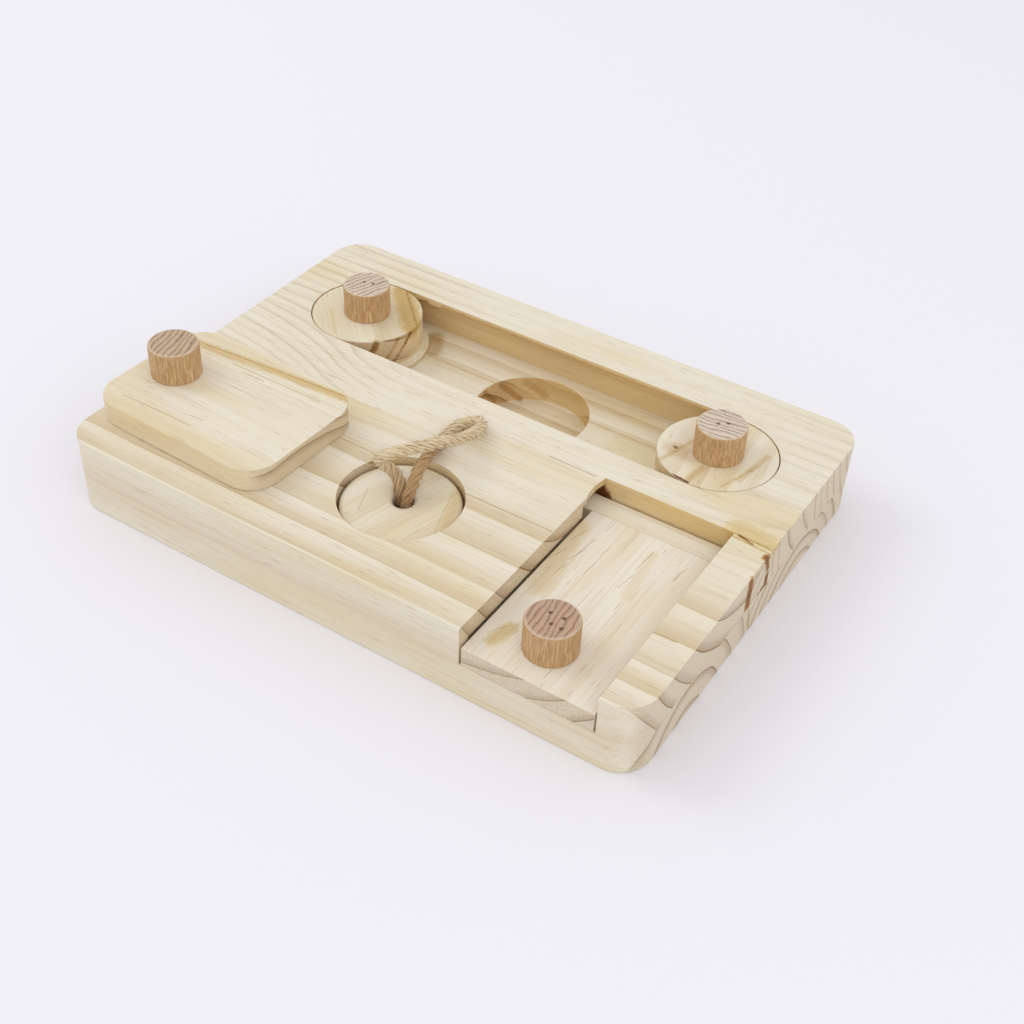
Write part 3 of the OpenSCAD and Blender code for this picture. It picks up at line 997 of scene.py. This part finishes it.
    def _fuzz(self, name: str, line: Sequence[Vector], count: int, jute: Material,
              seed: int) -> bpy.types.Object:
        """Scatters loose fibres that stand off the rope.

        Args:
            name: the piece's name.
            line: middle line of the rope.
            count: number of fibres.
            jute: the yarn's material.
            seed: seed of the scatter.

        Returns:
            The fibres, as one piece.
        """
        rng = random.Random(seed)
        bm = bmesh.new()
        bm.verts.layers.float_vector.new("yarn_place")
        frames = Shape.frames(line)
        shares = [k / 4 for k in range(5)]
        for _ in range(count):
            i = rng.randrange(2, len(line) - 2)
            if rng.random() < self.tufted:
                i = rng.choice((self.tufts[0], len(line) - self.tufts[1])) + rng.randrange(12)
            heading, side, up, run = frames[i]
            angle = rng.uniform(0, 2 * math.pi)
            out = math.cos(angle) * side + math.sin(angle) * up
            way = rng.choice((-1, 1))
            length = rng.uniform(*self.hair_length)
            lift = rng.uniform(*self.hair_lift) * length
            drift = rng.uniform(-self.hair_drift, self.hair_drift) * length
            root = line[i] + out * self.diameter * 0.43
            bow = out * lift + heading.cross(out) * drift
            path = [root + heading * way * length * t + bow * t * t for t in shares]
            thick = rng.uniform(*self.hair_radius)
            self._swept(bm, path, [thick * (1 - 0.6 * t) for t in shares], 3, 0, run / MM)
        return Shape.to_object(bm, name, jute)

    def _swept(self, bm: BMesh, line: Sequence[Vector], radii: Sequence[float], sides: int,
               yarns: int, start_mm: float = 0.0) -> None:
        """Sweeps a round section along a line, closes both ends and unrolls the strand.

        Args:
            bm: bmesh that gets the tube, with a layer for each point's place in the yarn.
            line: points of the tube's middle line.
            radii: radius at each point.
            sides: number of sides.
            yarns: number of yarns that show round the strand.
            start_mm: length along the rope at the line's first point.
        """
        layer = bm.verts.layers.float_vector["yarn_place"]
        ring = bmesh.ops.create_circle(bm, segments=sides, radius=1.0, cap_ends=True)["verts"]
        cap = ring[0].link_faces[0]
        for i, (_, side, up, run) in enumerate(Shape.frames(line)):
            if i:
                edges = {e for v in ring for e in v.link_edges if all(o in ring for o in e.verts)}
                made = bmesh.ops.extrude_edge_only(bm, edges=list(edges))["geom"]
                fresh = {g for g in made if isinstance(g, bmesh.types.BMVert)}
                ring = [next(e.other_vert(v) for e in v.link_edges if e.other_vert(v) in fresh)
                        for v in ring]
            for k, vertex in enumerate(ring):
                angle = 2 * math.pi * k / sides
                dip = self.groove * (0.5 - 0.5 * math.cos(yarns * angle)) ** 2
                out = radii[i] * (1 - dip)
                x, y = out * math.cos(angle), out * math.sin(angle)
                vertex.co = line[i] + x * side + y * up
                vertex[layer] = (x / MM, y / MM, start_mm + run / MM)
        bm.faces.new(ring)
        cap.normal_flip()


@dataclass
class Board:
    """Two glued planks with their channels and cups, and the block that closes the slot.

    Args:
        edge: width of the planks' broken edges.
        block_edge: width of the block's broken edges.
        joint: place of the joint between the front and the back staves, along Y.
    """

    edge: float = 0.0004
    block_edge: float = 0.0001
    joint: float = -0.006

    def build(self) -> None:
        """Eases both planks and the block, and dresses them."""
        self._plank("upper_plank", self._upper_front(), self._upper_back())
        self._plank("lower_plank", self._lower_front(), self._lower_back())
        bm = Shape.eased("end_filler", self.block_edge, 1)
        block = Shape.to_object(bm, "end_filler_block", self._block().build())
        Shape.dress(block, "end_filler", "board", "board_pine")

    def _plank(self, node: str, front: PineFinish, back: PineFinish) -> None:
        """Makes one plank from its node, cut along the joint of its staves.

        Args:
            node: name of the plank's node.
            front: finish of the front stave.
            back: finish of the back stave.
        """
        bm = Shape.eased(node, self.edge)
        bmesh.ops.bisect_plane(bm, geom=[*bm.verts, *bm.edges, *bm.faces], dist=0.001 * MM,
                               plane_co=(0.0, self.joint, 0.0), plane_no=(0.0, 1.0, 0.0))
        for face in bm.faces:
            face.material_index = 1 if face.calc_center_median().y > self.joint else 0
        Shape.browned_and_shaded(bm, self._routed_and_shaded)
        plank = Shape.to_object(bm, node + "_eased", front.build(), back.build())
        Shape.dress(plank, node, "board", "board_pine")

    @staticmethod
    def _routed_and_shaded(middle: Vector, normal: Vector) -> float:
        """Says how strong the warm tint of a face of the board is, partly a cutter's browning and
        partly painted warm shade.

        Args:
            middle: middle of the face.
            normal: its normal.

        Returns:
            Nothing outside, a little on the floors, and more on the walls, from 0 to 1.
        """
        ahead = (middle + 3 * MM * normal) / MM
        past_end = max(abs(ahead.x) - (BOARD_END_MM - BOARD_CORNER_MM), 0.0)
        past_back = max(abs(ahead.y) - (BOARD_BACK_MM - BOARD_CORNER_MM), 0.0)
        outside = math.hypot(past_end, past_back) > BOARD_CORNER_MM
        if outside or not 1.5 * MM <= middle.z <= (BOARD_TOP_MM - 0.5) * MM:
            return 0.0
        # The tint, partly painted warm shade, is faint on floors and on front walls that face along
        # X, stronger on other front walls and strongest on the back walls
        if abs(normal.z) > 0.6:
            return 0.1
        if middle.y < 0:
            return 0.2 if abs(normal.x) > 0.9 else 0.7
        return 1.0

    @staticmethod
    def _upper_front() -> PineFinish:
        """Front stave of the upper plank, with broad bands along the board."""
        pith = (-3.0, 55.0)
        on_top = rings_at(pith, (-64.0, -57.0, -49.5, -39.0, -27.0, -14.0, -9.0))
        return PineFinish(
            "pine_upper_front", pith, (18.0, 24.0, *on_top, 78.0, 86.0), contrast=0.9, warp=0.7,
            late_share=0.55, strengths=(0.6, 0.1, 0.1, 0.85, 0.9, 0.6, 0.85, 0.6, 0.6, 0.6),
            seed=2.0, strokes=(
                *Stroke.end_face((-8.2, 21.6, -7.9, 12.5, 1.2, 0.95, "#96642a")),
                *Stroke.level(
                    BOARD_TOP_MM,
                    (77.2, -38.7, 76.9, -61.2, 0.22, 0.6, "#9b8058"),
                    (77.8, -39.2, 85.0, -39.0, 0.3, 0.5, "#a98a5c"),
                    (-60.0, -22.8, 40.0, -22.2, 0.2, 0.45, "#ab9060"))))

    @staticmethod
    def _upper_back() -> PineFinish:
        """Back stave of the upper plank, whose rings stand nearly upright."""
        pith = (92.0, 36.0)
        on_top = rings_at(pith, (
            65.0, 61.0, 56.5, 52.0, 47.5, 43.5, 39.5, 35.5, 31.5, 27.0, 23.0, 19.0, 15.5, 12.0,
            8.5, 5.0, 1.5, -2.0, -5.5, -9.0, -13.0))
        return PineFinish(
            "pine_upper_back", pith, (20.0, *on_top, 118.0), contrast=0.5, warp=1.2, seed=5.0,
            late="#b39f7c", late_share=0.32,
            bend=((-95.0, 0.0), (-75.0, 3.0), (-60.0, 7.0), (-45.0, 13.0), (-30.0, 16.0),
                  (95.0, 10.0)),
            fade=((-95.0, 1.0), (-60.0, 1.0), (-40.0, 0.6), (-20.0, 0.25), (30.0, 0.2),
                  (70.0, 0.4), (95.0, 0.8)),
            strokes=(
                *Stroke.level(
                    BOARD_TOP_MM,
                    (23.0, 4.0, 38.0, 3.8, 0.16, 0.55, "#8f8270"),
                    (79.0, 4.6, 90.0, 4.0, 0.3, 0.4, "#a07a42"),
                    (79.0, 3.2, 90.0, 2.4, 0.25, 0.4, "#a07a42"),
                    (80.5, 4.4, 84.5, 3.3, 0.4, 0.6, "#8a6236"),
                    (79.0, 7.0, 88.0, 6.0, 3.4, 0.5, "#d3b473")),
                # Painted shadow of the left puck on the back wall beside it, with a scorch in it
                Stroke((-51.3, 49.7, 19.6), (-45.2, 49.7, 11.5), 2.0, 0.95, "#80502a"),
                # Painted shade under the lip, a darker line along the back channel's wall
                Stroke((-44.0, 49.7, 21.5), (62.0, 49.7, 21.5), 0.6, 0.25, "#93683a"),
                # Painted shade in the back left corner of the lid's pocket, under the lip
                Stroke((38.3, 4.8, 19.8), (40.4, 4.8, 17.0), 2.0, 0.85, "#5a3218"),
                *Stroke.end_face((0.6, 22.8, 1.8, 21.3, 1.2, 0.95, "#8f5c28"))))

    @staticmethod
    def _lower_front() -> PineFinish:
        """Front stave of the lower plank, with rings arched round its middle."""
        return PineFinish("pine_lower_front", (-38.0, -8.0), even_rings(4.0, 7.4, 9),
                          contrast=0.5, warp=1.6, seed=9.0)

    @staticmethod
    def _lower_back() -> PineFinish:
        """Back stave of the lower plank."""
        return PineFinish(
            "pine_lower_back", (26.0, -10.0), even_rings(5.0, 5.0, 12), contrast=0.7, warp=1.6,
            seed=13.0, strokes=(
                Stroke((-15.8, 40.3, 9.3), (-11.7, 45.3, 2.8), 1.0, 0.3, "#8a6234"),
                Stroke((-17.3, 33.7, 9.4), (-16.4, 38.0, 4.5), 0.9, 0.35, "#8a6234"),
                Stroke((-10.3, 46.4, 8.8), (-5.1, 49.0, 5.0), 1.4, 0.2, "#9a7040"),
                *Stroke.level(
                    GLUE_LINE_MM,
                    # Painted shadow of the left puck on the channel's floor beside it
                    (-45.5, 48.0, -41.5, 41.0, 2.8, 0.28, "#8c6434"),
                    (-41.0, 38.3, 44.0, 38.0, 0.5, 0.22, "#b89257"),
                    (-41.0, 27.0, 44.0, 26.2, 0.9, 0.18, "#b89257"),
                    (32.0, 33.0, 40.0, 30.0, 6.0, 0.3, "#d8cf92")),
                *Stroke.end_face((-6.0, 10.6, -3.2, 1.0, 0.4, 0.4, "#94703f"))))

    @staticmethod
    def _block() -> PineFinish:
        """Block in the board's right end, with scorch marks and dried glue round it."""
        return PineFinish(
            "pine_end_block", (-30.0, 40.0), even_rings(20.0, 4.5, 10), contrast=0.4, seed=17.0,
            strokes=Stroke.end_face(
                (-6.9, 21.0, -6.9, 12.0, 0.9, 0.9, "#96642a"),
                (1.5, 21.3, 3.0, 17.5, 0.9, 0.9, "#96642a"),
                (3.2, 15.0, 3.6, 11.6, 1.0, 0.95, "#8f5c28"),
                (1.2, 11.5, 2.2, 11.2, 1.0, 0.9, "#96642a"),
                (-1.0, 11.6, -0.4, 11.4, 0.5, 0.7, "#96642a"),
                (-6.5, 20.8, 1.5, 20.8, 0.25, 0.5, "#a98a5c")))


@dataclass
class Knob:
    """Turned beech knob, screwed on from below.

    Args:
        node: name of the knob's node.
        body: body that it rides on.
        angle: direction of the stripes on its top, in degrees.
        dots: pin holes in its top, from its axis, in mm.
        seed: number that sets its grain apart.
        top: colour of its end grain.
        round_edge: radius of its rounded rim.
        foot_edge: width of the broken edge at its foot.
        pilot_radius: radius of the screw's pilot hole.
        pilot_depth: depth of that hole.
        arc_steps: faces across the rounded rim.
        turns: faces round the knob.
    """

    node: str
    body: str
    angle: float
    dots: tuple[Place, ...] = ()
    seed: float = 0.0
    top: str = "#c7ad8e"
    round_edge: float = 0.0008
    foot_edge: float = 0.0002
    pilot_radius: float = 0.0013
    pilot_depth: float = 0.0055
    arc_steps: int = 5
    turns: int = 72

    def build(self) -> None:
        """Turns the knob and dresses it."""
        low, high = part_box(self.node)
        centre = (low + high) / 2
        radius, height = (high.x - low.x) / 2, high.z - low.z
        bm = bmesh.new()
        arc = []
        for k in range(self.arc_steps + 1):
            angle = math.radians(90) * k / self.arc_steps
            arc.append((radius - self.round_edge * (1 - math.cos(angle)),
                        height - self.round_edge * (1 - math.sin(angle))))
        outline = [
            (0.0, self.pilot_depth), (self.pilot_radius, self.pilot_depth),
            (self.pilot_radius, 0.0), (radius - self.foot_edge, 0.0), (radius, self.foot_edge),
            *arc, (0.0, height)]
        verts = [bm.verts.new((x, 0.0, z)) for x, z in outline]
        edges = [bm.edges.new(pair) for pair in zip(verts, verts[1:])]
        bmesh.ops.spin(bm, geom=[*verts, *edges], cent=(0.0, 0.0, 0.0), axis=(0.0, 0.0, 1.0),
                       angle=2 * math.pi, steps=self.turns, use_merge=True)
        bmesh.ops.remove_doubles(bm, verts=bm.verts, dist=0.001 * MM)
        bmesh.ops.recalc_face_normals(bm, faces=bm.faces)
        foot = Vector((centre.x, centre.y, low.z))
        bmesh.ops.translate(bm, verts=bm.verts, vec=foot)
        finish = BeechFinish(self.node + "_beech", tuple(foot / MM), radius / MM, self.angle,
                             self.dots, self.top, self.seed)
        knob = Shape.to_object(bm, self.node + "_turned", finish.build())
        Shape.dress(knob, self.node, self.body, "knob_beech")


@dataclass
class WoodPiece:
    """One plain pine piece with eased edges.

    Args:
        node: name of the node that it stands for.
        body: body that it rides on.
        slot: the record's slot of its finish.
        finish: its pine.
        edge: width of the broken edges.
        browned_and_shaded: strength of the warm tint of its upright faces, partly a cutter's
            browning and partly painted warm shade, from 0 to 1.
    """

    node: str
    body: str
    slot: str
    finish: PineFinish
    edge: float = 0.0004
    browned_and_shaded: float = 0.0

    def build(self) -> None:
        """Eases the piece and dresses it."""
        bm = Shape.eased(self.node, self.edge)
        Shape.browned_and_shaded(bm, lambda _, normal: self.browned_and_shaded if abs(normal.z) < 0.3 else 0.0)
        piece = Shape.to_object(bm, self.node + "_eased", self.finish.build())
        Shape.dress(piece, self.node, self.body, self.slot)


@dataclass
class SwivelCover:
    """Cover that turns on its screw over the front left cup.

    Args:
        turn: angle of the cover at rest, in degrees.
        pivot_mm: place of the screw.
        top_mm: height of the cover's top.
        edge: width of the cover's broken edges.
        browned_and_shaded: strength of the warm tint of its sides, partly a cutter's browning and
            partly painted warm shade.
    """

    turn: float = -2.3
    pivot_mm: Place = (-36.5, -34.3)
    top_mm: float = 30.1
    edge: float = 0.0008
    browned_and_shaded: float = 0.35

    def build(self) -> None:
        """Makes the cover and its knob."""
        finish = PineFinish(
            "pine_swivel_cover", (-8.0, -50.0),
            (50.0, 66.0, 73.0, 79.0, 82.4, 83.4, 85.0, 90.0, 98.0), turn=self.turn,
            centre=self.pivot_mm, contrast=0.3, warp=0.8, seed=21.0, end_late="#8b683a",
            end_contrast=2.2, strokes=Stroke.level(
                self.top_mm,
                (-100.0, -19.1, -25.0, -14.3, 1.7, 0.55, "#ccab70"),
                (-92.0, -18.1, -26.0, -13.7, 0.2, 0.35, "#a07c48"),
                (-67.7, -20.1, -36.3, -20.2, 0.16, 0.45, "#a9895a"),
                (-63.0, -21.9, -55.0, -21.7, 0.16, 0.45, "#a9895a"),
                (-82.0, -48.8, -57.7, -48.6, 0.16, 0.4, "#a9895a"),
                (-61.0, -45.2, -56.6, -45.0, 0.16, 0.45, "#a9895a")))
        WoodPiece("swivel_cover", "swivel", "cover_pine", finish, self.edge,
                  self.browned_and_shaded).build()
        Knob("swivel_knob", "swivel", 105.0, seed=3.0).build()


@dataclass
class Pucks:
    """The two sliding pucks of the back channel.

    Args:
        reach_mm: distance of either puck's middle from the board's, along X.
        row_mm: place of both along Y.
        top_mm: height of their tops.
        browned_and_shaded: strength of the warm tint of their sides, partly a cutter's browning and
            partly painted warm shade.
    """

    reach_mm: float = 60.2
    row_mm: float = 32.5
    top_mm: float = 23.3
    browned_and_shaded: float = 0.55

    def build(self) -> None:
        """Makes both pucks and their knobs."""
        left = PineFinish(
            "pine_left_puck", (14.0, 78.0), even_rings(50.0, 7.0, 9), turn=-43.5,
            centre=(-self.reach_mm, self.row_mm), early="#e6dcc2", late="#b89a5f",
            contrast=0.35, seed=25.0, strokes=(
                *Stroke.level(
                    self.top_mm,
                    (-58.5, 48.5, -44.0, 33.5, 3.4, 0.8, "#c8a968"),
                    (-57.0, 48.5, -43.8, 35.5, 0.4, 0.6, "#a3834a"),
                    (-70.0, 27.0, -61.0, 17.5, 0.7, 0.2, "#c8a968")),
                Stroke((-43.3, 31.4, 22.0), (-45.6, 24.9, 14.0), 0.7, 0.7, "#866636"),
                Stroke((-44.6, 26.8, 22.0), (-47.2, 22.0, 14.0), 0.7, 0.45, "#a3834a"),
                Stroke((-48.3, 20.9, 22.0), (-50.8, 18.8, 15.0), 1.1, 0.65, "#866636")))
        right = PineFinish(
            "pine_right_puck", (34.0, -20.0), even_rings(14.0, 4.6, 14), grain=Axis.ALONG_Y,
            turn=8.0, centre=(self.reach_mm, self.row_mm), early="#e9e1cc", late="#cdaf7d",
            seed=29.0, strokes=Stroke.level(
                self.top_mm,
                (49.5, 27.0, 55.2, 26.5, 3.0, 0.35, "#b89870"),
                (49.2, 27.8, 49.8, 27.5, 0.5, 0.8, "#6b4a30"),
                (45.4, 31.0, 46.2, 30.0, 0.7, 0.7, "#efe2c2"),
                (54.5, 16.6, 59.4, 15.8, 0.5, 0.85, "#5a3a20"),
                (67.7, 19.7, 72.1, 33.2, 0.5, 0.3, "#bd995e"),
                (58.8, 15.8, 59.8, 23.5, 1.1, 0.35, "#c2a067"),
                (48.4, 19.9, 52.5, 33.7, 0.8, 0.35, "#c2a067"),
                (70.1, 24.8, 72.4, 38.8, 1.0, 0.3, "#c2a067")))
        for side, finish in (("left", left), ("right", right)):
            body = side + "_puck"
            WoodPiece(body + "_body", body, "puck_pine", finish, browned_and_shaded=self.browned_and_shaded).build()
        Knob("left_puck_knob", "left_puck", 70.0, ((-1.2, 0.4), (1.6, 1.2)), 6.0,
             "#dac7b0").build()
        Knob("right_puck_knob", "right_puck", 4.0, ((1.2, 1.0), (-1.0, -0.6)), 9.0,
             "#ddccb8").build()


@dataclass
class Plug:
    """Lift-out plug of the middle front cup, with its rope.

    Args:
        top_mm: height of the plug's top.
        edge: width of the plug's broken edges.
        browned_and_shaded: strength of the warm tint of its side, partly a cutter's browning and
            partly painted warm shade.
    """

    top_mm: float = 21.0
    edge: float = 0.0009
    browned_and_shaded: float = 0.5

    def build(self) -> None:
        """Makes the plug and its rope."""
        finish = PineFinish(
            "pine_plug", (26.0, 50.0), even_rings(18.0, 6.5, 9), grain=Axis.ALONG_Y, turn=-14.0,
            centre=(0.5, -33.4), contrast=0.35, seed=33.0, strokes=Stroke.level(
                self.top_mm,
                (-10.2, -33.5, -6.9, -42.2, 0.12, 0.4, "#a3927a"),
                # Painted shade along the plug's right edge, where its rounded edge faces away from
                # the light: a thin line and a broad golden band
                (14.5, -38.2, 9.1, -21.8, 0.12, 0.35, "#b39a70"),
                (15.2, -34.0, 10.8, -22.0, 1.6, 0.3, "#cdb27c")))
        WoodPiece("plug_disc", "plug", "plug_pine", finish, self.edge, self.browned_and_shaded).build()
        RopeLoop().build()


@dataclass
class SlidingLid:
    """Captive lid of the front right cup: panel, cross bar and knob.

    Args:
        top_mm: height of the panel's top.
        panel_edge: width of the panel's broken edges.
        dashes: x and y of both ends of each resin dash on the panel, in mm.
    """

    top_mm: float = 17.2
    panel_edge: float = 0.0002
    dashes: tuple[tuple[float, ...], ...] = (
        (42.5, -16.0, 44.2, -10.3), (45.9, -23.3, 47.7, -17.1), (45.9, -29.1, 46.3, -24.5),
        (48.5, -8.2, 48.8, -3.1), (62.1, -16.5, 62.7, -8.4), (71.9, -14.6, 72.8, -8.7),
        (46.9, -19.2, 47.8, -12.2), (41.5, -25.6, 43.4, -19.7), (61.6, -25.0, 62.7, -18.4),
        (64.8, -32.2, 65.0, -29.2), (43.4, -56.9, 45.8, -52.5), (62.6, -62.0, 62.8, -58.7))

    def build(self) -> None:
        """Makes the lid's pieces."""
        marks = Stroke.level(
            self.top_mm,
            *((*dash, 0.15, 0.42, "#9c7f54") for dash in self.dashes),
            (41.5, -11.0, 45.5, -36.0, 3.4, 0.4, "#d2b988"),
            (63.0, -9.0, 65.3, -27.0, 1.6, 0.25, "#d2b988"),
            # Painted shadow of the knob, a tan patch on the panel at its left front
            (45.9, -58.5, 47.1, -52.3, 2.0, 0.6, "#cdb279"))
        panel = PineFinish(
            "pine_lid_panel", (-36.0, 66.0), even_rings(30.0, 6.0, 14), grain=Axis.ALONG_Y,
            early="#ece4d3", contrast=0.2, warp=2.4, seed=37.0, strokes=marks)
        bar = PineFinish("pine_lid_bar", (40.0, 20.0), even_rings(20.0, 6.0, 8), contrast=0.35,
                         seed=41.0)
        WoodPiece("lid_panel", "lid", "lid_pine", panel, self.panel_edge).build()
        WoodPiece("lid_rear_bar", "lid", "lid_pine", bar, browned_and_shaded=0.2).build()
        holes = ((-1.5, 1.3), (2.2, 1.4), (0.6, -1.8), (3.4, -1.9))
        Knob("lid_knob", "lid", 97.0, holes, 12.0, "#c2a285").build()


@dataclass
class Fasteners:
    """Zinc-plated screws and the washer, which keep their own shapes.

    Args:
        nodes: names of their nodes.
    """

    nodes: tuple[str, ...] = (
        "swivel_knob_screw", "pivot_screw", "pivot_washer", "left_puck_knob_screw",
        "right_puck_knob_screw", "lid_knob_screw")

    def build(self) -> None:
        """Gives each fastener its finish."""
        zinc = ZincFinish().build()
        for name in self.nodes:
            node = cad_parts[name]
            node.data.materials.clear()
            node.data.materials.append(zinc)
            LOG.info("%s: zinc", name)


def main() -> None:
    """Builds the studio and every sub-assembly in order."""
    logging.basicConfig(level=logging.INFO, format="%(message)s")
    for part in (Studio(), Plug(), Board(), SwivelCover(), Pucks(), SlidingLid(), Fasteners()):
        LOG.info("building %s", type(part).__name__)
        part.build()


if __name__ == "__main__":
    main()
